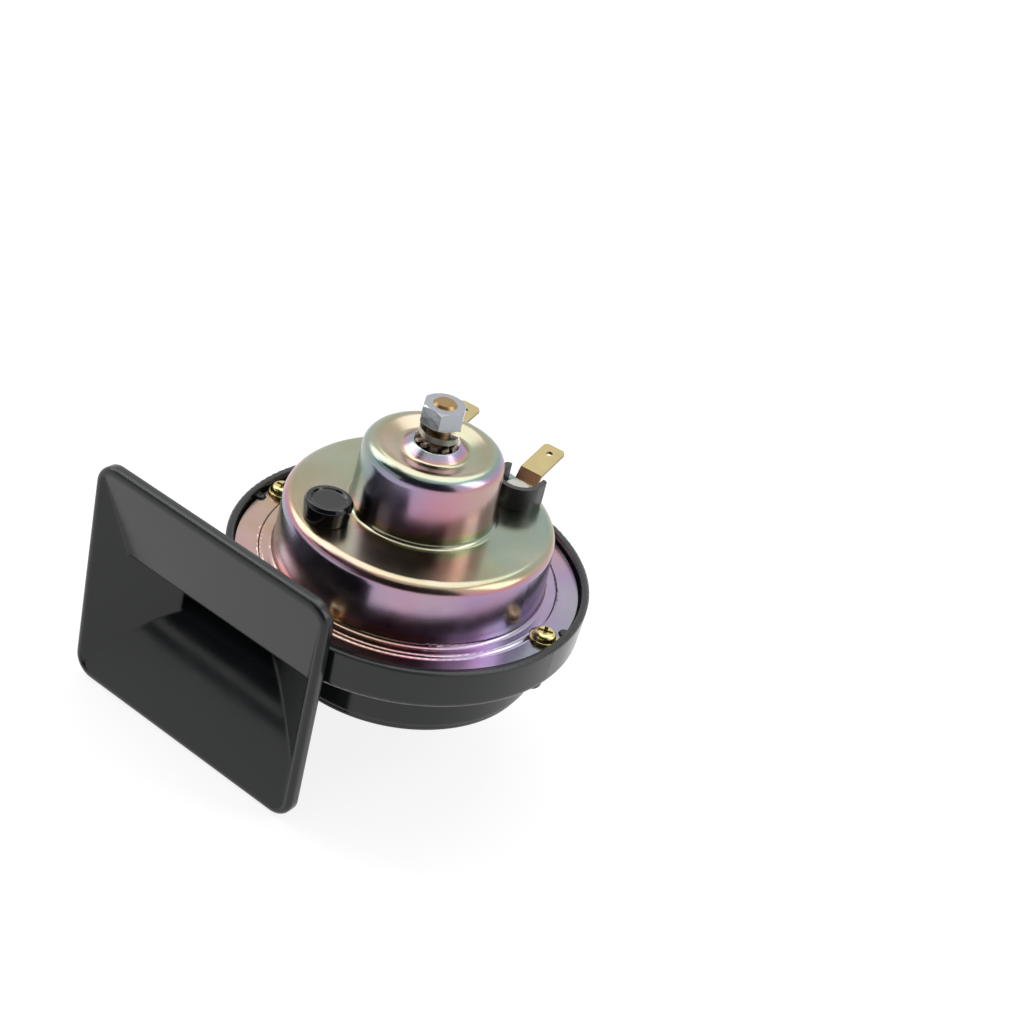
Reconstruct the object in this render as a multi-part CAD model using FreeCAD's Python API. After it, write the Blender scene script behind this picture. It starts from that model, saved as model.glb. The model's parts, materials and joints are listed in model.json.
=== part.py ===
"""Snail horn for a car: a zinc-plated steel can with magnet, contacts and diaphragm on a moulded trumpet.

Frame: millimetres, +Z along the mounting stud and away from the trumpet. The origin is the bracket seat,
the flat top of the can's central boss. The mouth of the trumpet faces -Y and +X is to its right.
"""
import FreeCAD, Part
import math
import os

V = FreeCAD.Vector
Z_AXIS = V(0, 0, 1)

# Steel can, heights counted up from the top of its flange
CAN_HEIGHT = 37.0
SHEET = 1.2
FLANGE_R = 44.0
FLANGE_WIDTH = 5.8
STEP_R = FLANGE_R - FLANGE_WIDTH
STEP_RISE = 0.8
STEP_WIDTH = 3.8
DRUM_R = STEP_R - STEP_WIDTH
DRUM_DRAFT = 0.5
DRUM_HEIGHT = 17.8
DRUM_ROUND = 3.2
NECK_SHARE = 0.4
NECK_R = FLANGE_R * NECK_SHARE
NECK_DRAFT = 0.7
NECK_RISE = 0.4
NECK_CORNER = CAN_HEIGHT + NECK_RISE
NECK_FOOT = 1.3
NECK_SEAM_R = NECK_R + NECK_DRAFT + NECK_FOOT + 0.1
NECK_ROUND = 3.7
DISH_R = NECK_R / 2
DISH_DROP = 2.1
DISH_HEIGHT = CAN_HEIGHT - DISH_DROP
BOSS_R = 6.0
CAN_TURN = 5.0
FLANGE_Z = -CAN_HEIGHT

# Flange joint
SCREW_COUNT = 4
SCREW_INSET = 3.1
SCREW_CIRCLE_R = FLANGE_R - SCREW_INSET
SCREW_R = 1.5
SCREW_LENGTH = 7.6
SCREW_HEAD_R = 3.0
SCREW_HEAD_RISE = 1.9
SCREW_COLLAR_R = 3.55
SCREW_COLLAR = 0.6
RECESS_DEPTH = 1.1
RECESS_SLOT = 0.9
HOLE_CLEARANCE = 0.25
LUG_R = 1.3
LUG_TURN = 7.5
LUG_RISE = 0.5
GASKET = 0.4
DIAPHRAGM = 0.4
CORRUGATION_RISE = 0.9
CORRUGATION_WIDTH = 3.0
CORRUGATION_INSET = 4.0

# Trumpet skirt, deck and spiral channel, heights counted down from the flange top
RIM_WALL = 2.6
RIM_R = FLANGE_R + RIM_WALL
RIM_RISE = 2.2
RECESS_CLEARANCE = 0.7
SKIRT_DROP = 8.5
CHAMBER_LEDGE = 8.0
CHAMBER_R = FLANGE_R - CHAMBER_LEDGE
DECK_TOP = 7.4
DECK = 2.6
THROAT_R = 5.0
SPIRAL_INSET = 0.5
SPIRAL_R = FLANGE_R - SPIRAL_INSET
SPIRAL_SHRINK = 9.0
SPIRAL_FRONT_R = SPIRAL_R - SPIRAL_SHRINK
SPIRAL_EIGHTHS = 12
WALL = 1.8
CHANNEL_DEPTH = 13.0
COVER = WALL
COVER_INSET = WALL / 2
BOSS_WALL = 1.1
BOSS_DROP = 15.0
CORE_WALL = 2.0

# Trumpet mouth
MOUTH_FLARE = 18.7
MOUTH_LEFT = -(SPIRAL_R + MOUTH_FLARE)
MOUTH_RIGHT = 13.9
MOUTH_TOP = 15.7
MOUTH_BOTTOM = -49.4
MOUTH_REACH = 6.0
MOUTH_Y = -(FLANGE_R + MOUTH_REACH)
MOUTH_CORNER = 6.0
LIP = 1.9
LIP_DEPTH = 3.0
LIP_ROUND = 1.2
BROW_DEPTH = 5.5
LEFT_DEPTH = 15.0
FLOOR_DEPTH = 20.0
FLOOR_POWER = 1.8
LEAVE_ANGLE = -135.0
TOUCH_SHARE = 0.35

# Mounting stud and what is on it
STUD_R = 3.0
STUD_TOP = 11.2
STUD_BOTTOM = -12.0
TOOTH_WASHER_R = 5.6
TOOTH_WASHER = 0.9
TOOTH_COUNT = 12
TOOTH_LENGTH = 1.3
TOOTH_TWIST = 0.5
SPRING_R = 5.0
SPRING_BORE_R = 3.1
SPRING_THICKNESS = 1.6
SPRING_RISE = 2.6
SPRING_TURN = 22.0
NUT_FLATS = 10.0
NUT_HEIGHT = 5.0

# Magnet, heights counted up from the flange top
CORE_R = 7.0
CORE_RISE = 1.7
CORE_BOTTOM = DRUM_HEIGHT + CORE_RISE
CORE_SPIGOT_R = 4.4
CORE_GAP = 0.2
MAGNET_GAP = 1.0
ARMATURE_R = 6.8
ARMATURE_BASE_R = 10.0
ARMATURE_BASE = 2.0
COLLAR_R = 14.5
COLLAR = 1.4
SPIGOT_R = 2.5
SPIGOT_LENGTH = 4.4
ARMATURE_WASHER_R = 7.0
ARMATURE_WASHER = 0.8
ARMATURE_NUT_FLATS = 8.0
ARMATURE_NUT = 2.4
BOBBIN_BORE_R = 7.3
BOBBIN_TUBE = 1.1
BOBBIN_INSET = 3.2
BOBBIN_R = NECK_R - BOBBIN_INSET
BOBBIN_DROP = 3.9
BOBBIN_TOP = DISH_HEIGHT - BOBBIN_DROP
BOBBIN_FLANGE = 1.3
BOBBIN_SEAT = 2.6
BOBBIN_SEAT_R = NECK_R + BOBBIN_SEAT
WINDING_CLEARANCE = 0.6

# Terminals, in the can's own turned frame
TERMINAL_X = 13.4
TERMINAL_SHARE = 0.52273
TERMINAL_Y = FLANGE_R * TERMINAL_SHARE
INSULATOR_R = 6.3
INSULATOR_WALL = 1.5
INSULATOR_HEIGHT = 6.0
INSULATOR_FLOOR = 1.5
INSULATOR_TAIL = 4.0
BLADE_WIDTH = 6.3
BLADE = 0.8
BLADE_FOOT = 4.4
BLADE_RISE = 3.1
BLADE_RUN = 1.8
BLADE_LENGTH = 11.6
BLADE_SLOPE = 12.0
BLADE_HOLE_R = 0.85
BLADE_HOLE_FROM_TIP = 3.2
BLADE_TIP_CUT = 0.9
BLADE_FOLD_R = 0.5
RIVET_R = 1.6
RIVET_HEAD_R = 3.5
RIVET_HEAD = 0.9
SLEEVE = 0.6
PLATE = 2.6
PLATE_INSET = 3.4
PLATE_R = DRUM_R - PLATE_INSET
PLATE_INNER_INSET = 0.4
PLATE_INNER_R = NECK_R - PLATE_INNER_INSET
PLATE_HALF_ANGLE = 55.0

# Contact breaker, in the can's own turned frame, heights up from the flange top
ADJUSTER_ANGLE = -120.0
ADJUSTER_SHARE = 0.59545
ADJUSTER_R = FLANGE_R * ADJUSTER_SHARE
PLUG_R = 6.1
PLUG_BASE_R = 5.6
PLUG_HEIGHT = 5.5
PLUG_NECK_R = 4.0
PLUG_RIM = 0.9
PLUG_SINK = 0.5
ADJUSTER_SCREW_R = 2.0
ADJUSTER_HEAD_R = 2.8
ADJUSTER_HEAD = 1.6
ADJUSTER_NUT = 2.0
ARM_WIDTH = 5.0
ARM = 0.6
ARM_TAIL = 4.5
FIXED_ARM_DROP = 9.8
FIXED_ARM_Z = DRUM_HEIGHT - FIXED_ARM_DROP
ARM_GAP = 3.0
MOVING_ARM_Z = FIXED_ARM_Z + ARM_GAP
TAB_CLEARANCE = 0.3
TAB_OVERLAP = 2.5
TAB_WIDTH = 8.0
CONTACT_R = 1.7
CONTACT_SHARE = 0.72
POST_ANGLE = -26.0
POST_CLEARANCE = 2.6
POST_SIZE = 8.0
BRACKET = 1.5
BREAKER_SCREW_R = 1.5
BREAKER_HEAD_R = 2.8
BREAKER_HEAD = 2.0
LEAD_R = 0.45
LEAD_INSET = 2.4
LEAD_START_R = BOBBIN_R - LEAD_INSET
LEAD_HOLE_CLEARANCE = 0.15
LEAD_DROP = 4.3
LEAD_LEVEL = DRUM_HEIGHT - LEAD_DROP
FIXED_ARM_TAB = 7.2


def xz(r, z):
    return V(r, 0, z)


def corner(before, at, after, radius):
    """Tangent points and middle of the arc that rounds the corner at a point."""
    u = (before - at).normalize()
    w = (after - at).normalize()
    half = u.getAngle(w) / 2
    reach = radius / math.tan(half)
    middle = (u + w).normalize() * (radius / math.sin(half) - radius)
    return at + u * reach, at + middle, at + w * reach


def outline(points, closed=True):
    """Edges through (r, z) or (r, z, radius) points, with each corner rounded by its radius."""
    places = [xz(p[0], p[1]) for p in points]
    radii = [p[2] if len(p) > 2 else 0 for p in points]
    count = len(points)
    stations = []
    for i, place in enumerate(places):
        inner = closed or 0 < i < count - 1
        if radii[i] > 0 and inner:
            stations.append(corner(places[i - 1], place, places[(i + 1) % count], radii[i]))
        else:
            stations.append((place, None, place))
    edges = []
    for i, (start, middle, end) in enumerate(stations):
        if middle is not None:
            edges.append(Part.Arc(start, middle, end).toShape())
        follower = stations[(i + 1) % count][0] if closed or i < count - 1 else None
        if follower is not None and end.distanceToPoint(follower) > 1e-6:
            edges.append(Part.makeLine(end, follower))
    return edges


def turned(points):
    """Solid of revolution about Z from a closed outline of (r, z, radius) points."""
    face = Part.Face(Part.Wire(outline(points)))
    return face.revolve(V(0, 0, 0), Z_AXIS, 360)


def inset(points, thickness):
    """The open path moved to its left by a thickness, with rounded corners kept concentric."""
    moved = []
    last = len(points) - 1
    for i, point in enumerate(points):
        here = xz(point[0], point[1])
        ahead = (xz(*points[i + 1][:2]) - here).normalize() if i < last else None
        behind = (here - xz(*points[i - 1][:2])).normalize() if i > 0 else None
        a = behind or ahead
        b = ahead or behind
        left_a = V(-a.z, 0, a.x)
        left_b = V(-b.z, 0, b.x)
        mitre = (left_a + left_b).normalize()
        here = here + mitre * (thickness / mitre.dot(left_a))
        bend = a.x * b.z - a.z * b.x
        radius = point[2] if len(point) > 2 else 0
        if radius > 0:
            radius = radius - thickness if bend > 0 else radius + thickness
        moved.append((here.x, here.z, max(radius, 0.05) if len(point) > 2 and point[2] > 0 else 0))
    return moved


def pressed(points, thickness):
    """A pressed sheet of one thickness, turned about Z from the open path of its upper side."""
    upper = outline(points, closed=False)
    lower = outline(inset(points, thickness), closed=False)
    first = Part.makeLine(upper[0].firstVertex().Point, lower[0].firstVertex().Point)
    last = Part.makeLine(upper[-1].lastVertex().Point, lower[-1].lastVertex().Point)
    face = Part.Face(Part.Wire(Part.__sortEdges__(upper + [last] + lower + [first])))
    return face.revolve(V(0, 0, 0), Z_AXIS, 360)


def cylinder(radius, bottom, top, x=0.0, y=0.0):
    return Part.makeCylinder(radius, top - bottom, V(x, y, bottom))


def ring(outer, inner, bottom, top):
    return cylinder(outer, bottom, top).cut(cylinder(inner, bottom - 1, top + 1))


def box(x0, x1, y0, y1, z0, z1):
    return Part.makeBox(x1 - x0, y1 - y0, z1 - z0, V(x0, y0, z0))


def turn(shape, degrees):
    shape.rotate(V(0, 0, 0), Z_AXIS, degrees)
    return shape


def polar(radius, degrees):
    angle = math.radians(degrees)
    return radius * math.cos(angle), radius * math.sin(angle)


def union(shapes):
    return shapes[0].multiFuse(shapes[1:]).removeSplitter()


def upright(shape):
    """The straight edges that run along Z."""
    edges = [edge for edge in shape.Edges if isinstance(edge.Curve, Part.Line)]
    return [edge for edge in edges if abs(edge.tangentAt(edge.FirstParameter).z) > 0.99]


def hexagon(flats, bottom, top, bore):
    """Hexagonal nut with its corners taken off by a cone at both ends."""
    corner_r = flats / math.sqrt(3)
    wire = Part.makePolygon([V(*polar(corner_r, 60 * i), bottom) for i in range(7)])
    nut = Part.Face(wire).extrude(V(0, 0, top - bottom))
    ease = (corner_r - flats / 2) * 0.6
    crown = turned([(0, bottom), (corner_r - 0.7, bottom), (corner_r, bottom + ease), (corner_r, top - ease),
                    (corner_r - 0.7, top), (0, top)])
    return nut.common(crown).cut(cylinder(bore, bottom - 1, top + 1))


# Places around the flange

def screw_places():
    return [polar(SCREW_CIRCLE_R, CAN_TURN + 360 * i / SCREW_COUNT) for i in range(SCREW_COUNT)]


def lug_places():
    return [polar(FLANGE_R, CAN_TURN + LUG_TURN + 180 * i) for i in range(2)]


def flange_cuts(bottom, top):
    """Screw holes and lug notches that go through everything clamped at the flange."""
    holes = [cylinder(SCREW_R + HOLE_CLEARANCE, bottom, top, *place) for place in screw_places()]
    notches = [cylinder(LUG_R + HOLE_CLEARANCE, bottom, top, *place) for place in lug_places()]
    return holes + notches


SEAT_Z = FLANGE_Z - SHEET - 2 * GASKET - DIAPHRAGM
RECESS_R = FLANGE_R + RECESS_CLEARANCE


# Steel can

def drum_inside(height):
    return FLANGE_Z + height - SHEET


def adjuster_place():
    return polar(ADJUSTER_R, ADJUSTER_ANGLE)


def pressed_can():
    """Flange, drum, neck and dish as one pressing, with no holes yet."""
    z = FLANGE_Z
    path = [(FLANGE_R, z), (STEP_R + STEP_RISE / 2, z, 0.8), (STEP_R - STEP_RISE / 2, z + STEP_RISE, 0.8),
            (DRUM_R + DRUM_DRAFT, z + STEP_RISE, 1.2), (DRUM_R, z + DRUM_HEIGHT, DRUM_ROUND),
            (NECK_R + NECK_DRAFT, z + DRUM_HEIGHT, NECK_FOOT), (NECK_R, z + NECK_CORNER, NECK_ROUND),
            (DISH_R, z + DISH_HEIGHT, 1.6), (BOSS_R, 0, 0.8), (STUD_R + HOLE_CLEARANCE, 0)]
    return pressed(path, SHEET)


def neck_column():
    """Space of the neck, out to the flat of the drum just past the round at its foot."""
    return cylinder(NECK_SEAM_R, drum_inside(DRUM_HEIGHT) - 1, FLANGE_Z + NECK_CORNER + 1)


def make_neck():
    """Neck and dish of the can."""
    return pressed_can().common(neck_column())


def make_can():
    """Flange and drum of the can."""
    z = FLANGE_Z
    cuts = flange_cuts(z - 2, z + 2)
    cuts += [cylinder(SCREW_COLLAR_R + HOLE_CLEARANCE, z, z + 2, *place) for place in screw_places()]
    drum = []
    top = z + DRUM_HEIGHT
    for side in (-1, 1):
        drum.append(cylinder(RIVET_R + SLEEVE, top - 3, top + 1, side * TERMINAL_X, TERMINAL_Y))
    drum.append(cylinder(PLUG_NECK_R, top - 3, top + 1, *adjuster_place()))
    cuts += [turn(shape, CAN_TURN) for shape in drum]
    return pressed_can().cut(cuts + [neck_column()])


# Flange joint

def make_flange_screw(index):
    """Cross-recessed tapping screw with a collar under its head."""
    x, y = screw_places()[index]
    base = SCREW_COLLAR
    top = base + SCREW_HEAD_RISE
    body = turned([(0, -SCREW_LENGTH), (SCREW_R * 0.4, -SCREW_LENGTH), (SCREW_R, -SCREW_LENGTH + 1.6),
                   (SCREW_R, 0), (SCREW_COLLAR_R, 0), (SCREW_COLLAR_R, base), (SCREW_HEAD_R, base, 0.2),
                   (SCREW_HEAD_R, top, 1.3), (0, top)])
    slot = SCREW_HEAD_R * 0.62
    for half in ((slot, RECESS_SLOT / 2), (RECESS_SLOT / 2, slot)):
        body = body.cut(box(-half[0], half[0], -half[1], half[1], top - RECESS_DEPTH, top + 1))
    body.rotate(V(0, 0, 0), Z_AXIS, 25 + 40 * index)
    body.translate(V(x, y, FLANGE_Z))
    return body


def make_gasket(level):
    """Paper gasket: level 0 lies on the diaphragm and level 1 under it."""
    top = FLANGE_Z - SHEET - level * (GASKET + DIAPHRAGM)
    gasket = ring(FLANGE_R, CHAMBER_R, top - GASKET, top)
    return gasket.cut(flange_cuts(top - 2, top + 2))


def make_diaphragm():
    """Thin steel sheet with one pressed corrugation, clamped at its edge and holed for the armature."""
    top = FLANGE_Z - SHEET - GASKET
    crest = top + CORRUGATION_RISE
    outer = CHAMBER_R - CORRUGATION_INSET
    step = CORRUGATION_WIDTH
    path = [(FLANGE_R, top), (outer, top, 3.0), (outer - step, crest, 2.0), (outer - 2 * step, crest, 2.0),
            (outer - 3 * step, top, 3.0), (SPIGOT_R + 0.1, top)]
    return pressed(path, DIAPHRAGM).cut(flange_cuts(top - 2, top + 2))


# Trumpet: the spiral shrinks by the same ratio in every turn

GROWTH = math.log(SPIRAL_R / SPIRAL_FRONT_R) / 270.0
CHANNEL_TOP = FLANGE_Z - DECK_TOP - DECK
CHANNEL_BOTTOM = CHANNEL_TOP - CHANNEL_DEPTH


def spiral_r(degrees):
    """Outside radius of the scroll wall at an angle; 180 degrees is where the duct leaves it."""
    return SPIRAL_R * math.exp(GROWTH * (degrees - 180.0))


def spiral_point(degrees, inset_by=0.0):
    return V(*polar(spiral_r(degrees) - inset_by, degrees), 0)


def spiral(start, end, inset_by=0.0):
    """Arcs along the spiral in the plane z = 0, one for each eighth of a turn."""
    arcs = []
    for i in range(round((end - start) / 45)):
        first = start + 45 * i
        arcs.append(Part.Arc(*[spiral_point(first + part, inset_by) for part in (0, 22.5, 45)]).toShape())
    return arcs


def plan(edges, bottom, top):
    """Solid of one height from closed edges in the plane z = 0."""
    face = Part.Face(Part.Wire(Part.__sortEdges__(edges)))
    face.translate(V(0, 0, bottom))
    return face.extrude(V(0, 0, top - bottom))


def chain(points):
    return [Part.makeLine(a, b) for a, b in zip(points[:-1], points[1:])]


DUCT_LEFT = -(SPIRAL_R - WALL)
DUCT_Y = spiral_r(LEAVE_ANGLE) * math.sin(math.radians(LEAVE_ANGLE))
SPIRAL_START = 180 - 45 * SPIRAL_EIGHTHS


def scroll_outline():
    """Outside of the scroll and of the duct as far as the bell."""
    last = spiral_point(180)
    return spiral(LEAVE_ANGLE, 180) + chain([last, V(last.x, DUCT_Y, 0), spiral_point(LEAVE_ANGLE)])


def make_scroll_cavity():
    """Air from the throat in the deck, round the spiral channel, to the duct."""
    bottom, top = CHANNEL_BOTTOM, CHANNEL_TOP
    ends = (spiral_point(SPIRAL_START, WALL), spiral_point(SPIRAL_START - 360))
    channel = plan(spiral(SPIRAL_START, 180, WALL) + spiral(SPIRAL_START - 360, -180)
                   + chain(ends) + chain([spiral_point(180, WALL), spiral_point(-180)]), bottom, top)
    width = ends[0].x - ends[1].x
    lead = box(0, ends[0].x - width * 0.3, 0, width, bottom, top)
    eye = cylinder(THROAT_R, bottom, top + DECK + 1)
    return [channel, lead, eye]


def mouth_prism(inset_by, y0, y1):
    """Bar along Y with the mouth's rounded outline, made smaller by an inset."""
    radius = MOUTH_CORNER - inset_by
    left, right = MOUTH_LEFT + inset_by, MOUTH_RIGHT - inset_by
    bottom, top = FLANGE_Z + MOUTH_BOTTOM + inset_by, FLANGE_Z + MOUTH_TOP - inset_by
    corners = [(left, bottom), (right, bottom), (right, top), (left, top)]
    face = Part.Face(Part.Wire(outline([(x, z, radius) for x, z in corners])))
    face.translate(V(0, y0, 0))
    return face.extrude(V(0, y1 - y0, 0))


def mouth_crease():
    """The right wall runs straight from its crease near the lip until it touches the scroll."""
    arc = spiral(LEAVE_ANGLE, LEAVE_ANGLE + 45)[0]
    first, last = arc.ParameterRange
    at = first + (last - first) * TOUCH_SHARE
    touch = arc.valueAt(at)
    along = arc.tangentAt(at)
    crease = touch + along * ((MOUTH_Y + BROW_DEPTH - touch.y) / along.y)
    return crease, touch, arc.Curve.toShape(first, at)


def bell_walls():
    """Inner faces of the left wall, from duct to lip, and of the right wall, from lip to scroll."""
    crease, touch = mouth_crease()[:2]
    left = [(DUCT_LEFT, DUCT_Y), (DUCT_LEFT, MOUTH_Y + LEFT_DEPTH), (MOUTH_LEFT + LIP, MOUTH_Y)]
    right = [(MOUTH_RIGHT - LIP, MOUTH_Y), (crease.x, crease.y), (touch.x, touch.y)]
    return left, right


def beyond(inner, end, by):
    """A straight run of a path carried on past its end until it is so far in front of the lip."""
    slope = (end[0] - inner[0]) / (end[1] - inner[1])
    return end[0] - slope * by, end[1] - by


def flat(points):
    return [V(x, y, 0) for x, y in points]


def make_bell_air():
    """Air of the mouth and of the duct behind it, as far as the spiral channel."""
    left, right = bell_walls()
    left.append(beyond(left[1], left[2], 1.0))
    right.insert(0, beyond(right[1], right[0], 1.0))
    curve = [mouth_crease()[2]] + spiral(-180, LEAVE_ANGLE)
    runs = chain(flat(left + right)) + chain([spiral_point(-180), V(DUCT_LEFT, 0, 0), V(*left[0], 0)])
    seen_from_above = plan(runs + curve, FLANGE_Z - 80, FLANGE_Z + 40)
    top = FLANGE_Z + MOUTH_TOP - LIP
    brow = (MOUTH_Y + BROW_DEPTH, CHANNEL_TOP)
    slope = (top - CHANNEL_TOP) / BROW_DEPTH
    upper = [(0, CHANNEL_TOP), brow, (MOUTH_Y - 1, top + slope)]
    return seen_from_above.common(bell_profile(upper, 0.0)).common(mouth_prism(LIP, MOUTH_Y - 2, 1))


def floor_point(depth, thickness):
    """Inner face of the mouth's flared floor at a depth behind the lip, or a point that far under it."""
    drop = CHANNEL_BOTTOM - FLANGE_Z - MOUTH_BOTTOM - LIP
    rest = 1 - depth / FLOOR_DEPTH
    slope = drop * FLOOR_POWER / FLOOR_DEPTH * max(rest, 0) ** (FLOOR_POWER - 1)
    size = math.hypot(slope, 1)
    return V(0, MOUTH_Y + depth + thickness * slope / size,
             CHANNEL_BOTTOM - drop * max(rest, 0) ** FLOOR_POWER - thickness / size)


def bell_profile(upper, thickness):
    """Bar along X with the side view of the bell: an upper path from back to front and the flared floor."""
    depths = [FLOOR_DEPTH * i / 8 for i in range(0 if thickness else -1, 9)]
    points = [floor_point(depth, thickness) for depth in depths]
    curve = Part.BSplineCurve()
    curve.interpolate(points)
    above = [V(0, y, z) for y, z in upper]
    edges = chain(above + [points[0]]) + [curve.toShape()]
    edges += chain([points[-1], V(0, above[0].y, points[-1].z), above[0]])
    face = Part.Face(Part.Wire(edges))
    face.translate(V(MOUTH_LEFT - 10, 0, 0))
    return face.extrude(V(MOUTH_RIGHT - MOUTH_LEFT + 20, 0, 0))


def make_bell():
    """Outside of the bell, a wall's thickness around its air and inside the mouth's outline."""
    left, right = bell_walls()
    outer = inset(left, -WALL) + inset(right, -WALL)
    corner_point = spiral_point(LEAVE_ANGLE)
    outer = [(p[0], p[1]) for p in outer] + [(corner_point.x, corner_point.y)]
    seen_from_above = plan(chain(flat(outer + outer[:1])), FLANGE_Z - 80, FLANGE_Z + 40)
    top = FLANGE_Z + MOUTH_TOP - LIP
    path = inset([(DUCT_Y, CHANNEL_TOP), (MOUTH_Y + BROW_DEPTH, CHANNEL_TOP), (MOUTH_Y, top)], -WALL)
    profile = bell_profile([(p[0], p[1]) for p in path], WALL)
    return seen_from_above.common(profile).common(mouth_prism(0, MOUTH_Y, 1))


def make_trumpet():
    """The moulded body: rim, deck, scroll walls, screw bosses, duct and mouth in one piece."""
    z = FLANGE_Z
    skirt = turned([(0, z - SKIRT_DROP), (RIM_R - 0.4, z - SKIRT_DROP, 1.0), (RIM_R, z + RIM_RISE, 0.5),
                    (RECESS_R - 1, z + RIM_RISE), (RECESS_R - 1, z), (0, z)])
    scroll = plan(scroll_outline(), CHANNEL_BOTTOM, CHANNEL_TOP + WALL)
    solids = [skirt, scroll, make_bell()]
    frame = mouth_prism(0, MOUTH_Y, MOUTH_Y + LIP_DEPTH)
    front = [edge for edge in frame.Edges if abs(edge.BoundBox.YMax - MOUTH_Y) < 1e-6]
    solids.append(frame.makeFillet(LIP_ROUND, front))
    for place in screw_places():
        r = SCREW_R + BOSS_WALL
        root = -SKIRT_DROP + 1
        boss = turned([(0, -BOSS_DROP), (r, -BOSS_DROP, r * 0.8), (r, root), (0, root)])
        boss.translate(V(*place, z))
        solids.append(boss)
    body = union(solids)
    cavities = [make_bell_air()] + make_scroll_cavity()
    cavities.append(cylinder(RECESS_R, SEAT_Z, z + RIM_RISE + 1))
    cavities.append(cylinder(CHAMBER_R, z - DECK_TOP, SEAT_Z + 1))
    pocket_r = spiral_r(SPIRAL_START - 360) - WALL
    pocket = ring(pocket_r, THROAT_R + CORE_WALL, CHANNEL_BOTTOM, CHANNEL_TOP - 1)
    guard = box(0, SPIRAL_R, -CORE_WALL, 6 + CORE_WALL, CHANNEL_BOTTOM - 1, CHANNEL_TOP)
    cavities.append(pocket.cut(guard))
    for place in screw_places():
        cavities.append(cylinder(SCREW_R, z - SCREW_LENGTH - 0.6, z, *place))
    for cavity in cavities + [make_scroll_cover()]:
        body = body.cut(cavity)
    lugs = [cylinder(LUG_R, SEAT_Z - 1, z + LUG_RISE, *place) for place in lug_places()]
    return body.multiFuse(lugs)


def make_scroll_cover():
    """Plate welded over the open side of the spiral channel, a little inside the walls it sits on."""
    first = spiral_point(LEAVE_ANGLE, COVER_INSET)
    last = spiral_point(180, COVER_INSET)
    edges = spiral(LEAVE_ANGLE, 180, COVER_INSET)
    edges += chain([last, V(last.x, DUCT_Y, 0), V(first.x, DUCT_Y, 0), first])
    return plan(edges, CHANNEL_BOTTOM - COVER, CHANNEL_BOTTOM)


# Mounting stud and what is on it

def make_stud():
    """M6 stud screwed into the magnet core."""
    ease = 0.6
    return turned([(0, STUD_BOTTOM), (STUD_R - ease, STUD_BOTTOM), (STUD_R, STUD_BOTTOM + ease),
                   (STUD_R, STUD_TOP - ease), (STUD_R - ease, STUD_TOP), (0, STUD_TOP)])


def make_tooth_washer():
    """External-tooth lock washer with each tooth twisted out of its plane."""
    body = ring(TOOTH_WASHER_R - TOOTH_LENGTH, STUD_R + HOLE_CLEARANCE, TOOTH_TWIST / 2,
                TOOTH_TWIST / 2 + TOOTH_WASHER)
    pitch = 2 * math.pi * TOOTH_WASHER_R / TOOTH_COUNT
    slant = math.degrees(math.asin((TOOTH_TWIST + 0.1) / (pitch * 0.6)))
    teeth = []
    for i in range(TOOTH_COUNT):
        tooth = box(TOOTH_WASHER_R - TOOTH_LENGTH - 0.4, TOOTH_WASHER_R, -pitch * 0.3, pitch * 0.3,
                    -TOOTH_WASHER / 2, TOOTH_WASHER / 2)
        tooth.rotate(V(0, 0, 0), V(1, 0, 0), slant)
        tooth.translate(V(0, 0, (TOOTH_TWIST + TOOTH_WASHER) / 2))
        teeth.append(turn(tooth, 360 * i / TOOTH_COUNT))
    return union([body] + teeth).common(cylinder(TOOTH_WASHER_R, 0, TOOTH_TWIST + TOOTH_WASHER))


STACK_TOP = TOOTH_TWIST + TOOTH_WASHER


def make_spring_washer():
    """Split spring washer, not pressed flat: its section climbs along a helix from gap to gap."""
    middle_r = (SPRING_R + SPRING_BORE_R) / 2
    helix = Part.makeHelix(SPRING_RISE * 360 / 350, SPRING_RISE, middle_r, 0, True)
    start = STACK_TOP
    half = (SPRING_R - SPRING_BORE_R) / 2
    near, far = middle_r - half, middle_r + half
    section = Part.makePolygon([V(near, 0, 0), V(far, 0, 0), V(far, 0, SPRING_THICKNESS),
                                V(near, 0, SPRING_THICKNESS), V(near, 0, 0)])
    shell = Part.Wire(helix.Edges).makePipeShell([Part.Wire(section)], True, True)
    shell.translate(V(0, 0, start))
    return turn(shell, SPRING_TURN)


NUT_BOTTOM = STACK_TOP + SPRING_THICKNESS + SPRING_RISE


def make_nut():
    return hexagon(NUT_FLATS, NUT_BOTTOM, NUT_BOTTOM + NUT_HEIGHT, STUD_R)


# Magnet

def make_core():
    """Fixed pole, seated under the can's dish with a spigot inside its boss."""
    bottom = FLANGE_Z + CORE_BOTTOM
    shoulder = FLANGE_Z + DISH_HEIGHT - SHEET - CORE_GAP
    core = turned([(0, bottom), (CORE_R, bottom, 0.5), (CORE_R, shoulder, 0.3), (CORE_SPIGOT_R, shoulder),
                   (CORE_SPIGOT_R, -SHEET), (0, -SHEET)])
    return core.cut(cylinder(STUD_R, STUD_BOTTOM, 1))


def armature_base():
    return FLANGE_Z - SHEET - GASKET


def make_armature():
    """Moving pole on the diaphragm, with the collar that opens the contacts and a threaded end."""
    bottom = armature_base()
    top = FLANGE_Z + CORE_BOTTOM - MAGNET_GAP
    collar_top = FLANGE_Z + MOVING_ARM_Z - TAB_CLEARANCE
    return turned([(0, bottom - SPIGOT_LENGTH), (SPIGOT_R, bottom - SPIGOT_LENGTH, 0.4), (SPIGOT_R, bottom),
                   (ARMATURE_BASE_R, bottom), (ARMATURE_BASE_R, bottom + ARMATURE_BASE, 0.5),
                   (ARMATURE_R, bottom + ARMATURE_BASE, 1.0), (ARMATURE_R, collar_top - COLLAR),
                   (COLLAR_R, collar_top - COLLAR, 0.3), (COLLAR_R, collar_top, 0.3),
                   (ARMATURE_R, collar_top), (ARMATURE_R, top, 0.5), (0, top)])


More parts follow.
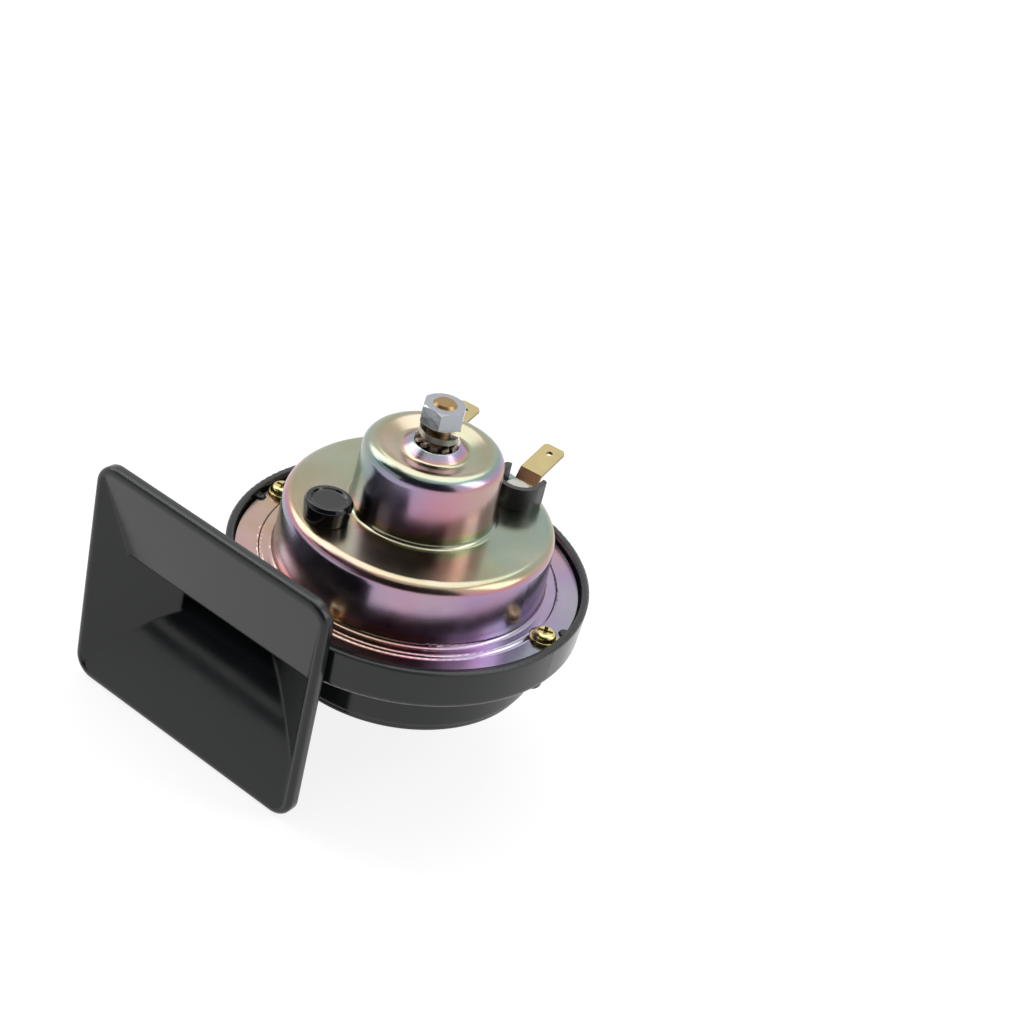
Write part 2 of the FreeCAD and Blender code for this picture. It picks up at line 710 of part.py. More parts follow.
def make_armature_washer():
    top = armature_base() - DIAPHRAGM
    return ring(ARMATURE_WASHER_R, SPIGOT_R, top - ARMATURE_WASHER, top)


def make_armature_nut():
    top = armature_base() - DIAPHRAGM - ARMATURE_WASHER
    return hexagon(ARMATURE_NUT_FLATS, top - ARMATURE_NUT, top, SPIGOT_R)


def lead_starts():
    """Where the winding's two ends come down through the bobbin's flange."""
    return [polar(LEAD_START_R, 140), polar(LEAD_START_R, -40)]


def make_bobbin():
    """Coil former in the neck, with a wide flange against the inside of the drum."""
    seat = drum_inside(DRUM_HEIGHT)
    top = FLANGE_Z + BOBBIN_TOP
    tube_r = BOBBIN_BORE_R + BOBBIN_TUBE
    bobbin = turned([(BOBBIN_BORE_R, seat - BOBBIN_FLANGE), (BOBBIN_SEAT_R, seat - BOBBIN_FLANGE),
                     (BOBBIN_SEAT_R, seat), (tube_r, seat), (tube_r, top - BOBBIN_FLANGE),
                     (BOBBIN_R, top - BOBBIN_FLANGE), (BOBBIN_R, top), (BOBBIN_BORE_R, top)])
    radius = LEAD_R + LEAD_HOLE_CLEARANCE
    holes = [cylinder(radius, seat - 2, seat + 1, *place) for place in lead_starts()]
    return bobbin.cut([turn(hole, CAN_TURN) for hole in holes])


def make_winding():
    seat = drum_inside(DRUM_HEIGHT)
    top = FLANGE_Z + BOBBIN_TOP - BOBBIN_FLANGE
    return ring(BOBBIN_R - WINDING_CLEARANCE, BOBBIN_BORE_R + BOBBIN_TUBE, seat, top)


# Terminals

def place_terminal(shape, side):
    shape.translate(V(side * TERMINAL_X, TERMINAL_Y, 0))
    return turn(shape, CAN_TURN)


def half_round(radius, tail, bottom, top):
    """A block that is round towards -Y and straight towards +Y."""
    points = [V(-radius, tail, bottom), V(-radius, 0, bottom), V(0, -radius, bottom), V(radius, 0, bottom),
              V(radius, tail, bottom)]
    edges = [Part.makeLine(points[0], points[1]), Part.Arc(points[1], points[2], points[3]).toShape(),
             Part.makeLine(points[3], points[4]), Part.makeLine(points[4], points[0])]
    return Part.Face(Part.Wire(edges)).extrude(V(0, 0, top - bottom))


def make_insulator(side):
    """Cup under the blade, open at the back where the blade leaves it."""
    base = FLANGE_Z + DRUM_HEIGHT
    outer = half_round(INSULATOR_R, INSULATOR_TAIL, base, base + INSULATOR_HEIGHT)
    tail_edges = [edge for edge in upright(outer) if edge.CenterOfMass.y > INSULATOR_TAIL - 0.1]
    outer = outer.makeFillet(INSULATOR_WALL * 0.8, tail_edges)
    inner = half_round(INSULATOR_R - INSULATOR_WALL, INSULATOR_TAIL + 3, base + INSULATOR_FLOOR,
                       base + INSULATOR_HEIGHT + 1)
    return place_terminal(outer.cut([inner, cylinder(RIVET_R, base - 1, base + 3)]), side)


def make_blade(side):
    """Blade terminal folded up twice from a strip, riveted at its foot and holed at its tip."""
    base = FLANGE_Z + DRUM_HEIGHT + INSULATOR_FLOOR
    slope = math.radians(BLADE_SLOPE)
    y, z = -RIVET_HEAD_R, base + BLADE / 2
    bend = BLADE_FOOT + BLADE_RUN
    path = [(y, z), (BLADE_FOOT, z), (bend, z + BLADE_RISE),
            (bend + BLADE_LENGTH * math.cos(slope), z + BLADE_RISE + BLADE_LENGTH * math.sin(slope))]
    upper = inset(path, BLADE / 2)
    lower = inset(path, -BLADE / 2)
    sides = []
    for run in (upper, lower[::-1]):
        sides += [(p[0], p[1], BLADE_FOLD_R if 0 < i < 3 else 0) for i, p in enumerate(run)]
    strip = Part.Face(Part.Wire(outline(sides))).extrude(V(0, BLADE_WIDTH, 0))
    strip.translate(V(0, -BLADE_WIDTH / 2, 0))
    strip.rotate(V(0, 0, 0), Z_AXIS, 90)
    tip = path[3][0]
    w = BLADE_WIDTH / 2
    cut = BLADE_TIP_CUT
    seen_from_above = [(-w, y - 1), (w, y - 1), (w, tip - cut), (w - cut, tip), (w - cut, tip + 1),
                       (cut - w, tip + 1), (cut - w, tip), (-w, tip - cut), (-w, y - 1)]
    trimmed = plan(chain([V(a, b, 0) for a, b in seen_from_above]), base - 5, base + 30)
    holes = [cylinder(RIVET_R, base - 1, base + 2),
             cylinder(BLADE_HOLE_R, base, base + 12, 0, tip - BLADE_HOLE_FROM_TIP)]
    return place_terminal(strip.common(trimmed).cut(holes), side)


def make_rivet(side):
    """Rivet through blade, insulator, can and inner plate, closed over the inner plate."""
    top = FLANGE_Z + DRUM_HEIGHT + INSULATOR_FLOOR + BLADE
    under = drum_inside(DRUM_HEIGHT) - PLATE
    rivet = turned([(0, under - RIVET_HEAD), (RIVET_HEAD_R - 0.8, under - RIVET_HEAD, 0.4),
                    (RIVET_HEAD_R - 0.8, under), (RIVET_R, under), (RIVET_R, top), (RIVET_HEAD_R, top),
                    (RIVET_HEAD_R, top + RIVET_HEAD, 0.5), (0, top + RIVET_HEAD)])
    return place_terminal(rivet, side)


def make_inner_plate():
    """Insulating sector under the drum that takes both rivets and clamps the bobbin's flange."""
    top = drum_inside(DRUM_HEIGHT)
    sector = turned([(PLATE_INNER_R, top - PLATE), (PLATE_R, top - PLATE), (PLATE_R, top),
                     (BOBBIN_SEAT_R, top), (BOBBIN_SEAT_R, top - BOBBIN_FLANGE),
                     (PLATE_INNER_R, top - BOBBIN_FLANGE)])
    wedge = [V(0, 0, top - 10)]
    for step in range(5):
        angle = 90 - PLATE_HALF_ANGLE + PLATE_HALF_ANGLE * step / 2
        wedge.append(V(*polar(PLATE_R * 1.6, angle), top - 10))
    keep = Part.Face(Part.makePolygon(wedge + wedge[:1])).extrude(V(0, 0, 20))
    plate = sector.common(keep)
    places = [(side * TERMINAL_X, TERMINAL_Y) for side in (-1, 1)]
    sleeves = [cylinder(RIVET_R + SLEEVE, top, top + SHEET, *place) for place in places]
    holes = [cylinder(RIVET_R, top - 10, top + 5, *place) for place in places]
    return turn(union([plate] + sleeves).cut(holes), CAN_TURN)


# Contact breaker and its adjuster

def make_plug():
    """Rubber plug over the adjusting screw: a dished button with a neck that grips the sheet."""
    x, y = adjuster_place()
    seat = FLANGE_Z + DRUM_HEIGHT
    top = seat + PLUG_HEIGHT
    grip = PLUG_NECK_R + 0.3
    under = seat - SHEET
    plug = turned([(ADJUSTER_HEAD_R + 0.4, under - 1.2), (PLUG_NECK_R - 0.3, under - 1.2), (grip, under),
                   (PLUG_NECK_R, under), (PLUG_NECK_R, seat), (PLUG_BASE_R, seat, 0.4),
                   (PLUG_R, top - 1.0, 0.6), (PLUG_R - 0.6, top, 0.5), (PLUG_R - 0.6 - PLUG_RIM, top, 0.3),
                   (PLUG_R - 1.2 - PLUG_RIM, top - PLUG_SINK, 0.4), (0, top - PLUG_SINK),
                   (0, top - 2.4), (ADJUSTER_HEAD_R + 0.4, top - 2.4)])
    plug.translate(V(x, y, 0))
    return turn(plug, CAN_TURN)


def make_adjuster_nut():
    """Threaded plate welded under the drum for the adjusting screw."""
    x, y = adjuster_place()
    top = drum_inside(DRUM_HEIGHT) - 1.4
    plate = ring(PLUG_NECK_R + 1.0, ADJUSTER_SCREW_R, top - ADJUSTER_NUT, top)
    skirt = ring(PLUG_NECK_R + 1.0, PLUG_NECK_R + 0.5, top, top + 1.4)
    plate = union([plate, skirt])
    plate.translate(V(x, y, 0))
    return turn(plate, CAN_TURN)


def make_adjusting_screw():
    """Slotted screw whose tip sets the height of the fixed contact arm."""
    x, y = adjuster_place()
    seat = drum_inside(DRUM_HEIGHT) - 1.4
    head = seat + 2.6
    tip = FLANGE_Z + FIXED_ARM_Z + ARM
    screw = turned([(0, tip), (ADJUSTER_SCREW_R * 0.6, tip), (ADJUSTER_SCREW_R, tip + 0.8),
                    (ADJUSTER_SCREW_R, head), (ADJUSTER_HEAD_R, head, 0.2),
                    (ADJUSTER_HEAD_R, head + ADJUSTER_HEAD, 0.4), (0, head + ADJUSTER_HEAD)])
    face = head + ADJUSTER_HEAD
    slot = box(-ADJUSTER_HEAD_R, ADJUSTER_HEAD_R, -0.4, 0.4, face - 0.8, face + 1)
    screw = screw.cut(slot)
    screw.translate(V(x, y, 0))
    return turn(screw, CAN_TURN)


POST_X, POST_Y = polar(BOBBIN_SEAT_R + POST_CLEARANCE, POST_ANGLE)


def arm_direction():
    x, y = adjuster_place()
    along = V(x - POST_X, y - POST_Y, 0)
    return along.Length, math.degrees(math.atan2(along.y, along.x))


def place_arm(shape):
    """Puts a shape drawn along +X from the clamping post onto the line from the post to the adjuster."""
    shape.rotate(V(0, 0, 0), Z_AXIS, arm_direction()[1])
    shape.translate(V(POST_X, POST_Y, 0))
    return turn(shape, CAN_TURN)


def arm_strip(z, start, end):
    strip = box(start, end, -ARM_WIDTH / 2, ARM_WIDTH / 2, z, z + ARM)
    return strip.makeFillet(1.2, upright(strip))


def make_fixed_arm():
    """Lower contact arm, from the clamping post to the tip of the adjusting screw."""
    z = FLANGE_Z + FIXED_ARM_Z
    length = arm_direction()[0]
    strip = arm_strip(z, -FIXED_ARM_TAB, length + ARM_TAIL - 1.5)
    return place_arm(strip.cut(cylinder(BREAKER_SCREW_R, z - 1, z + 2)))


def collar_point():
    """Distance along the arms to where they pass the armature, and how far to their right it is."""
    angle = math.radians(arm_direction()[1])
    along = -(POST_X * math.cos(angle) + POST_Y * math.sin(angle))
    return along, POST_Y * math.cos(angle) - POST_X * math.sin(angle)


def make_moving_arm():
    """Upper spring arm with a tab that reaches over the armature's collar and a hole for the screw."""
    z = FLANGE_Z + MOVING_ARM_Z
    length = arm_direction()[0]
    along, off = collar_point()
    strip = arm_strip(z, -POST_SIZE / 2, length + ARM_TAIL)
    reach = off - COLLAR_R + TAB_OVERLAP
    arm = union([strip, box(along - TAB_WIDTH / 2, along + TAB_WIDTH / 2, -reach, 0, z, z + ARM)])
    slot = cylinder(ADJUSTER_SCREW_R + 0.35, z - 1, z + 2, length, 0)
    return place_arm(arm.cut([slot, cylinder(BREAKER_SCREW_R, z - 1, z + 2)]))


def make_contact(bottom, top):
    button = turned([(0, bottom), (CONTACT_R, bottom, 0.2), (CONTACT_R, top, 0.2), (0, top)])
    button.translate(V(arm_direction()[0] * CONTACT_SHARE, 0, 0))
    return place_arm(button)


def post_block(bottom, top):
    half = POST_SIZE / 2
    block = box(-half, half, -half, half, bottom, top)
    block = block.makeFillet(1.0, upright(block))
    return place_arm(block.cut(cylinder(BREAKER_SCREW_R, bottom - 1, top + 1)))


def make_bracket():
    """Steel plate welded under the drum, tapped for the clamping screw."""
    top = drum_inside(DRUM_HEIGHT)
    half = POST_SIZE / 2 + 1.0
    plate = box(-half, half, -half, half, top - BRACKET, top)
    plate = place_arm(plate.cut(cylinder(BREAKER_SCREW_R, top - 9, top + 1)))
    flat = ring(DRUM_R - SHEET - DRUM_ROUND, BOBBIN_SEAT_R + HOLE_CLEARANCE, top - 9, top + 1)
    return plate.common(flat)


def make_breaker_screw():
    """Screw that clamps both arms and their spacers to the bracket from below."""
    top = drum_inside(DRUM_HEIGHT) - 0.2
    head = FLANGE_Z + FIXED_ARM_Z - SHEET
    screw = turned([(0, head - BREAKER_HEAD), (BREAKER_HEAD_R, head - BREAKER_HEAD, 0.5),
                    (BREAKER_HEAD_R, head), (BREAKER_SCREW_R, head), (BREAKER_SCREW_R, top), (0, top)])
    face = head - BREAKER_HEAD
    slot = box(-BREAKER_HEAD_R, BREAKER_HEAD_R, -0.4, 0.4, face - 1, face + 0.9)
    return place_arm(screw.cut(slot))


# Leads

def wire(points):
    """Round wire along straight runs with mitred corners, in the can's own turned frame."""
    path = Part.Wire(chain([V(*point) for point in points]))
    start = V(*points[0])
    end = Part.Wire(Part.Circle(start, (V(*points[1]) - start).normalize(), LEAD_R).toShape())
    return turn(path.makePipeShell([end], True, False, 1), CAN_TURN)


def beside_rivet(side, toward):
    """Point on the flank of a rivet's closed end that faces a place."""
    rivet = V(side * TERMINAL_X, TERMINAL_Y, 0)
    return rivet + (V(toward[0], toward[1], 0) - rivet).normalize() * (RIVET_HEAD_R - 0.8)


def on_arm(station):
    """Place above the arms at a distance from the clamping post towards the adjuster."""
    angle = math.radians(arm_direction()[1])
    return POST_X + station * math.cos(angle), POST_Y + station * math.sin(angle)


def make_feed_lead():
    """From the winding to the left terminal's rivet."""
    start = lead_starts()[0]
    level = FLANGE_Z + LEAD_LEVEL
    end = beside_rivet(-1, start)
    return wire([(*start, drum_inside(DRUM_HEIGHT)), (*start, level), (end.x, end.y, level)])


def make_contact_lead():
    """From the winding to the moving contact arm."""
    start = lead_starts()[1]
    level = FLANGE_Z + LEAD_LEVEL
    end = on_arm(POST_SIZE / 2 + 2)
    return wire([(*start, drum_inside(DRUM_HEIGHT)), (*start, level), (*end, level),
                 (*end, FLANGE_Z + MOVING_ARM_Z + ARM)])


def make_return_lead():
    """From the fixed contact arm to the right terminal's rivet."""
    end = on_arm(LEAD_R * 2 - FIXED_ARM_TAB)
    start = beside_rivet(1, end)
    level = FLANGE_Z + LEAD_LEVEL
    return wire([(start.x, start.y, level), (*end, level), (*end, FLANGE_Z + FIXED_ARM_Z + ARM)])


CONTACT_MIDDLE = FLANGE_Z + (FIXED_ARM_Z + ARM + MOVING_ARM_Z) / 2

PARTS = {
    "trumpet_body": make_trumpet(), "scroll_cover": make_scroll_cover(),
    "steel_can": make_can(), "can_neck": make_neck(),
    "upper_gasket": make_gasket(0), "diaphragm": make_diaphragm(), "lower_gasket": make_gasket(1),
    "mounting_stud": make_stud(), "toothed_washer": make_tooth_washer(),
    "spring_washer": make_spring_washer(), "mounting_nut": make_nut(),
    "magnet_core": make_core(), "armature": make_armature(),
    "armature_washer": make_armature_washer(), "armature_nut": make_armature_nut(),
    "coil_bobbin": make_bobbin(), "coil_winding": make_winding(),
    "inner_insulating_plate": make_inner_plate(), "adjuster_plug": make_plug(),
    "adjuster_nut": make_adjuster_nut(), "adjusting_screw": make_adjusting_screw(),
    "breaker_bracket": make_bracket(), "breaker_screw": make_breaker_screw(),
    "fixed_contact_arm": make_fixed_arm(), "moving_contact_arm": make_moving_arm(),
    "fixed_contact": make_contact(FLANGE_Z + FIXED_ARM_Z + ARM, CONTACT_MIDDLE),
    "moving_contact": make_contact(CONTACT_MIDDLE, FLANGE_Z + MOVING_ARM_Z),
    "feed_lead": make_feed_lead(), "contact_lead": make_contact_lead(), "return_lead": make_return_lead(),
    "breaker_upper_spacer": post_block(FLANGE_Z + MOVING_ARM_Z + ARM, drum_inside(DRUM_HEIGHT) - BRACKET),
    "breaker_middle_spacer": post_block(FLANGE_Z + FIXED_ARM_Z + ARM, FLANGE_Z + MOVING_ARM_Z),
    "breaker_lower_spacer": post_block(FLANGE_Z + FIXED_ARM_Z - SHEET, FLANGE_Z + FIXED_ARM_Z),
}
for number in range(SCREW_COUNT):
    PARTS[f"flange_screw_{number + 1}"] = make_flange_screw(number)
for hand, side in (("left", -1), ("right", 1)):
    PARTS[f"terminal_insulator_{hand}"] = make_insulator(side)
    PARTS[f"terminal_blade_{hand}"] = make_blade(side)
    PARTS[f"terminal_rivet_{hand}"] = make_rivet(side)

os.makedirs("parts", exist_ok=True)
for name, shape in PARTS.items():
    shape.exportStep(f"parts/{name}.step")
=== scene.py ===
"""Snail horn for a car: looks, light and camera around its solids, in metres, with Z along the stud."""
import json
import math

import bpy
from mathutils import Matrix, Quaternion, Vector


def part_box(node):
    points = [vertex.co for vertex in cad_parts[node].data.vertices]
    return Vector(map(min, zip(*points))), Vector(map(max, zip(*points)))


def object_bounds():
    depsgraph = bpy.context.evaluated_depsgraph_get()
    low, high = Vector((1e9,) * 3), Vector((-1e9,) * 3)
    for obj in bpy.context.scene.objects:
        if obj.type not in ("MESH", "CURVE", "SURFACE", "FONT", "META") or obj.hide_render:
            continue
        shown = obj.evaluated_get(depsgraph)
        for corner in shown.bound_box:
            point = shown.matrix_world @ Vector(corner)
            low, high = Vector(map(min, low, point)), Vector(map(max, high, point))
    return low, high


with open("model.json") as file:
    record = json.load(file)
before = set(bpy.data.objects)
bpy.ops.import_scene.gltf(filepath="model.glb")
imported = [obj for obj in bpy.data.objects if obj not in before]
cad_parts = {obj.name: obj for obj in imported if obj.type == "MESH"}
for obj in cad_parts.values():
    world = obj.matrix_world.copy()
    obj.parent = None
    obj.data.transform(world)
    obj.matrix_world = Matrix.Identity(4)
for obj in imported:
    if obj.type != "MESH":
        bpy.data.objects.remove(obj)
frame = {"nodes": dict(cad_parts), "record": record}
cad_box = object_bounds()


def rgb(red, green, blue):
    """Linear colour from screen values of 0 to 255."""
    shares = (red / 255, green / 255, blue / 255)
    return tuple(((v + 0.055) / 1.055) ** 2.4 if v > 0.04045 else v / 12.92 for v in shares)


# Camera: place, the direction it is seen from, its tilt about the line of sight and its lens
CAMERA_PLACE = (0.21311, -0.33566, 0.23569)
AZIMUTH = 29.243
ELEVATION = 32.192
ROLL = -14.615
LENS = 66.8
SENSOR = 36.0
CLIP_START = 0.01

# Floor and room
WHITE = (1, 1, 1, 1)
FLOOR_GAP = 0.0004
FLOOR_SIZE = 6.0
FLOOR_GREY = (0.25, 0.25, 0.25, 1)
FLOOR_GLOW = 0.84
ROOM_LIGHT = 0.42

# Lamps around a point in the can: name, azimuth, elevation, distance, width, height, power
LAMPS = (("top", -150, 70, 0.9, 0.8, 0.8, 3.6),
         ("left", -80, 42, 1.0, 0.5, 0.7, 3.0),
         ("right", 120, 38, 1.0, 0.4, 0.7, 2.5))
LAMP_CENTRE = Vector((0, 0, -0.03))

# Dark screens that paint dark reflections on the glossy parts, as of dark parts of the room: name, azimuths
# from and to, elevations from and to, grey
DARK_REFLECTIONS = (("dark_side_reflection", -12.0, 78.0, 8.0, 62.0, 0.03),
         ("dark_ceiling_reflection", -75.0, -12.0, 30.0, 66.0, 0.03),
         ("dim_wall_reflection", -75.0, -12.0, 17.5, 24.0, 0.3))
DARK_REFLECTIONS_R = 1.6
DARK_REFLECTIONS_STEPS = 12

# Hues of the thin film on the plating, once round, and the metal under it
FILM = ((0.0, rgb(152, 146, 118)), (0.16, rgb(178, 152, 124)), (0.32, rgb(190, 134, 146)),
        (0.52, rgb(158, 138, 174)), (0.72, rgb(124, 150, 146)), (0.86, rgb(152, 158, 132)),
        (1.0, rgb(152, 146, 118)))
SILVER = rgb(180, 176, 172)

# Hue along each zone of the can: rounds of the film's hues in a metre, and the hue where its run starts
FLANGE_HUE = (14.0, 0.22)
DRUM_WALL_HUE = (-4.5, 0.62)
DRUM_TOP_HUE = (11.0, -0.2)
NECK_WALL_HUE = (-15.0, 0.52)
NECK_TOP_HUE = (-76.0, 2.05)

# Place across the can from which the flange's hue runs
FLANGE_RUN = 0.012

# Levels between the zones: above the can's lower edge, below and above the drum's top, below the neck's top
DRUM_FOOT = 0.0047
DRUM_EDGE = 0.0013
NECK_FOOT = 0.0027
NECK_EDGE = 0.002
ZONE_BLEND = 0.0012

# Drift of the hue, share of bare metal in the clouds, gloss and grain of the plating
HUE_DRIFT = 0.6
HUE_DRIFT_SCALE = 26.0
HUE_DRIFT_DETAIL = 2.5
CLOUD = 0.4
CLOUD_SCALE = 60.0
CLOUD_NOISE = (0.35, 0.7)
ZINC_ROUGHNESS = (0.17, 0.25)
ZINC_ROUGHNESS_SCALE = 140.0
ZINC_GRAIN = 0.000012
ZINC_GRAIN_SCALE = 2600.0

# Moulded plastic: colour, gloss, and the radius that its sharp edges show
PLASTIC = (0.011, 0.013, 0.0145, 1)
PLASTIC_ROUGHNESS = 0.17
PLASTIC_SPECULAR = 0.45
PLASTIC_EDGE = 0.0012
PLASTIC_EDGE_SAMPLES = 6

# Patches of gloss: detail of the noise and the part of its range that they use
PATCH_DETAIL = 3.0
PATCH_NOISE = (0.3, 0.7)

# Plain materials: how far and how finely the gloss drifts, and how fine the grain is
GLOSS_DRIFT = 0.15
GLOSS_SCALE = 160.0
GRAIN_SCALE = 900.0

METALS = {
    "spring_steel": {"colour": rgb(190, 190, 192), "roughness": 0.3},
    "core_steel": {"colour": rgb(160, 160, 162), "roughness": 0.35},
    "copper_winding": {"colour": rgb(214, 138, 98), "roughness": 0.35},
    "contact_silver": {"colour": rgb(228, 228, 228), "roughness": 0.2},
    "stud_steel": {"colour": rgb(150, 122, 82), "roughness": 0.32, "grain": 0.00004},
    "washer_zinc": {"colour": rgb(176, 160, 150), "roughness": 0.3, "grain": 0.00003},
    "bright_zinc": {"colour": rgb(166, 169, 174), "roughness": 0.22, "grain": 0.00004,
                    "grain_scale": 500.0},
    "screw_zinc": {"colour": rgb(204, 190, 132), "roughness": 0.22, "grain": 0.00002},
    "blade_brass": {"colour": rgb(142, 130, 93), "roughness": 0.33, "grain": 0.00002},
    "rivet_tin": {"colour": rgb(182, 180, 174), "roughness": 0.4, "grain": 0.00003},
}

OTHERS = {
    "gasket_paper": {"colour": rgb(150, 140, 118), "roughness": 0.9},
    "natural_nylon": {"colour": rgb(222, 216, 196), "roughness": 0.45},
    "brown_fibre": {"colour": rgb(120, 78, 48), "roughness": 0.7},
    "black_rubber": {"colour": (0.005, 0.005, 0.006), "roughness": 0.14},
    "terminal_plastic": {"colour": rgb(34, 34, 35), "roughness": 0.38, "grain": 0.00002},
}


# Materials

class Nodes:
    """A node tree under construction, with short ways to add and join nodes."""

    def __init__(self, tree):
        self.tree = tree

    def fill(self, socket, value):
        """Join another node's output to a socket, or write a plain value there."""
        if isinstance(value, bpy.types.NodeSocket):
            self.tree.links.new(value, socket)
        else:
            socket.default_value = value

    def node(self, kind, inputs, **settings):
        made = self.tree.nodes.new(kind)
        for key, value in settings.items():
            setattr(made, key, value)
        for key, value in inputs.items():
            self.fill(made.inputs[key], value)
        return made

    def math(self, operation, *values):
        return self.node("ShaderNodeMath", dict(enumerate(values)), operation=operation).outputs[0]

    def seen(self):
        """1 for the camera, reflections and what is seen through glass, 0 for light on surfaces."""
        rays = self.node("ShaderNodeLightPath", {}).outputs
        direct = self.math("MAXIMUM", rays["Is Camera Ray"], rays["Is Glossy Ray"])
        return self.math("MAXIMUM", direct, rays["Is Transmission Ray"])


class Shader(Nodes):
    """A material under construction."""

    def __init__(self, name, **values):
        self.material = bpy.data.materials.new(name)
        self.material.use_nodes = True
        super().__init__(self.material.node_tree)
        self.set(**values)

    def set(self, **values):
        """Fill the surface's own sockets by name."""
        sockets = self.tree.nodes["Principled BSDF"].inputs
        for key, value in values.items():
            self.fill(sockets[key.replace("_", " ")], value)

    def place(self):
        """Coordinates fixed to the object, in metres."""
        return self.node("ShaderNodeTexCoord", {}).outputs["Object"]

    def noise(self, scale, detail=2.0):
        inputs = {"Vector": self.place(), "Scale": scale, "Detail": detail}
        return self.node("ShaderNodeTexNoise", inputs).outputs[0]

    def line(self, value, slope, start):
        """A straight function of a value."""
        return self.math("MULTIPLY_ADD", value, slope, start)

    def blend(self, first, second, share):
        return self.node("ShaderNodeMix", {0: share, 2: first, 3: second}, data_type="FLOAT").outputs[0]

    def spread(self, value, low, high, to_low=0.0, to_high=1.0):
        """Map the range from low to high to another range, and stop at its ends."""
        inputs = {0: value, 1: low, 2: high, 3: to_low, 4: to_high}
        return self.node("ShaderNodeMapRange", inputs).outputs[0]

    def ramp(self, value, stops):
        made = self.node("ShaderNodeValToRGB", {0: value})
        elements = made.color_ramp.elements
        while len(elements) < len(stops):
            elements.new(0.5)
        for element, (position, colour) in zip(elements, stops):
            element.position = position
            element.color = (*colour, 1)
        return made.outputs[0]

    def uneven(self, scale, low, high):
        """Roughness that drifts between two values over the surface, as on handled and moulded parts."""
        return self.spread(self.noise(scale, PATCH_DETAIL), *PATCH_NOISE, low, high)

    def gloss(self, roughness):
        return self.uneven(GLOSS_SCALE, roughness * (1 - GLOSS_DRIFT), roughness * (1 + GLOSS_DRIFT))

    def grain(self, scale, depth):
        bump = self.node("ShaderNodeBump", {"Height": self.noise(scale), "Distance": depth})
        self.set(Normal=bump.outputs[0])


def film_phase(shader):
    """How far round the film's hues the plating is, zone by zone from the flange to the neck's top."""
    x, y, z = shader.node("ShaderNodeSeparateXYZ", {0: shader.place()}).outputs
    squares = shader.math("ADD", shader.math("MULTIPLY", x, x), shader.math("MULTIPLY", y, y))
    radius = shader.math("SQRT", squares)
    forward = shader.math("MAXIMUM", shader.math("MULTIPLY", y, -1.0), 0.0)
    beyond = shader.math("MAXIMUM", shader.math("SUBTRACT", x, FLANGE_RUN), 0.0)
    can_low, can_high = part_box("steel_can")
    neck_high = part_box("can_neck")[1]
    phase = shader.line(beyond, *FLANGE_HUE)
    for run, hue, level in ((x, DRUM_WALL_HUE, can_low.z + DRUM_FOOT),
                            (forward, DRUM_TOP_HUE, can_high.z - DRUM_EDGE),
                            (x, NECK_WALL_HUE, can_high.z + NECK_FOOT),
                            (radius, NECK_TOP_HUE, neck_high.z - NECK_EDGE)):
        share = shader.spread(z, level - ZONE_BLEND, level + ZONE_BLEND)
        phase = shader.blend(phase, shader.line(run, *hue), share)
    return phase


def yellow_zinc():
    """Passivated zinc: silver sheet under a thin film whose hue drifts with the zone and the place in it."""
    shader = Shader("yellow_zinc", Metallic=1.0)
    drift = shader.line(shader.noise(HUE_DRIFT_SCALE, HUE_DRIFT_DETAIL), HUE_DRIFT, -HUE_DRIFT / 2)
    phase = shader.math("ADD", film_phase(shader), drift)
    hue = shader.ramp(shader.math("FRACT", phase), FILM)
    cloud = shader.spread(shader.noise(CLOUD_SCALE, PATCH_DETAIL), *CLOUD_NOISE, 0.0, CLOUD)
    colour = shader.node("ShaderNodeMix", {0: cloud, 6: hue, 7: (*SILVER, 1)}, data_type="RGBA")
    shader.set(Base_Color=colour.outputs[2], Roughness=shader.uneven(ZINC_ROUGHNESS_SCALE, *ZINC_ROUGHNESS))
    shader.grain(ZINC_GRAIN_SCALE, ZINC_GRAIN)
    return shader.material


def black_plastic():
    """Glossy moulded plastic, near black under its reflections."""
    shader = Shader("black_plastic", Base_Color=PLASTIC, Specular_IOR_Level=PLASTIC_SPECULAR)
    rounded = shader.node("ShaderNodeBevel", {"Radius": PLASTIC_EDGE}, samples=PLASTIC_EDGE_SAMPLES)
    shader.set(Roughness=shader.gloss(PLASTIC_ROUGHNESS), Normal=rounded.outputs[0])
    return shader.material


def plain(name, metallic, colour, roughness, grain=0.0, grain_scale=GRAIN_SCALE):
    """One colour, with a gloss that drifts a little and, where the surface has it, a fine grain."""
    shader = Shader(name, Base_Color=(*colour, 1), Metallic=metallic)
    shader.set(Roughness=shader.gloss(roughness))
    if grain:
        shader.grain(grain_scale, grain)
    return shader.material


def make_materials():
    made = {"yellow_zinc": yellow_zinc(), "black_plastic": black_plastic()}
    for metallic, looks in ((1.0, METALS), (0.0, OTHERS)):
        for name, look in looks.items():
            made[name] = plain(name, metallic, **look)
    return made


def dress_solids():
    """Give each solid the material that the record names for it."""
    materials = make_materials()
    for part in frame["record"]["subparts"]:
        slots = frame["nodes"][part["node"]].data.materials
        slots.clear()
        slots.append(materials[part["material_slot"]])


# Stage

def direction(azimuth, elevation):
    """Unit vector from the object, by the azimuth from its mouth's side and the elevation, in degrees."""
    a = math.radians(azimuth)
    e = math.radians(elevation)
    return Vector((math.sin(a) * math.cos(e), -math.cos(a) * math.cos(e), math.sin(e)))


def add_object(name, data, place=(0, 0, 0)):
    made = bpy.data.objects.new(name, data)
    made.location = place
    bpy.context.scene.collection.objects.link(made)
    return made


